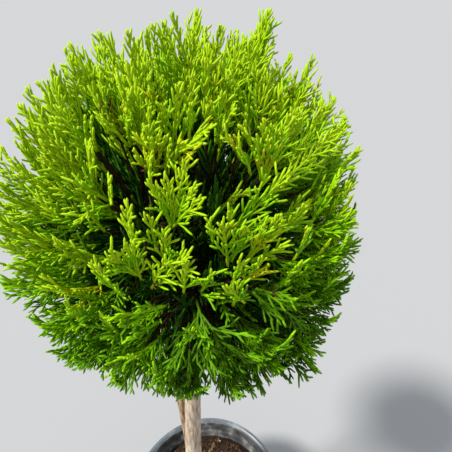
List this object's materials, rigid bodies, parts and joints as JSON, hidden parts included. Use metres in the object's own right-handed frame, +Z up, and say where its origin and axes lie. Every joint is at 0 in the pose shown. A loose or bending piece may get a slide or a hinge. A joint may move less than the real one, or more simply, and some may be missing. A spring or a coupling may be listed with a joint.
{
  "type": "lollipop topiary in a pot",
  "caption": "Evergreen conifer trained as a lollipop standard: a ball of feathery green sprays on a slim leaning trunk with a thinner stem beside it, in a round dark nursery pot",
  "frame": {"origin": "centre of the pot's flat underside", "axes": "+Z up along the height of the plant, -Y towards the front that the picture shows, +X to the right of it"},
  "size_m": [0.3062, 0.2948, 0.9674],
  "materials": {
    "pot_plastic": "satin black plastic, dusty",
    "compost": "loose, rough, moist",
    "bark": "rough bark in long flakes",
    "bough_bark": "rough brown bark",
    "foliage": "fresh, faintly waxy scale leaves"
  },
  "bodies": {
    "root": {"pot": "pot_plastic", "soil": "compost", "trunk": "bark", "second_stem": "bark", "bough_upper_1": "bough_bark", "bough_upper_2": "bough_bark", "bough_upper_3": "bough_bark", "bough_upper_4": "bough_bark", "bough_upper_5": "bough_bark", "bough_middle_1": "bough_bark", "bough_middle_2": "bough_bark", "bough_middle_4": "bough_bark", "bough_middle_5": "bough_bark", "bough_middle_6": "bough_bark", "bough_lower_1": "bough_bark", "bough_lower_2": "bough_bark", "bough_lower_3": "bough_bark", "bough_lower_4": "bough_bark", "bough_lower_5": "bough_bark", "bough_lower_6": "bough_bark", "foliage_top": "foliage", "foliage_upper_1": "foliage", "foliage_upper_2": "foliage", "foliage_upper_3": "foliage", "foliage_upper_4": "foliage", "foliage_upper_5": "foliage", "foliage_middle_1": "foliage", "foliage_middle_2": "foliage", "foliage_middle_3": "foliage", "foliage_middle_4": "foliage", "foliage_middle_5": "foliage", "foliage_middle_6": "foliage", "foliage_lower_1": "foliage", "foliage_lower_2": "foliage", "foliage_lower_3": "foliage", "foliage_lower_4": "foliage", "foliage_lower_5": "foliage", "foliage_lower_6": "foliage"}
  },
  "joints": []
}
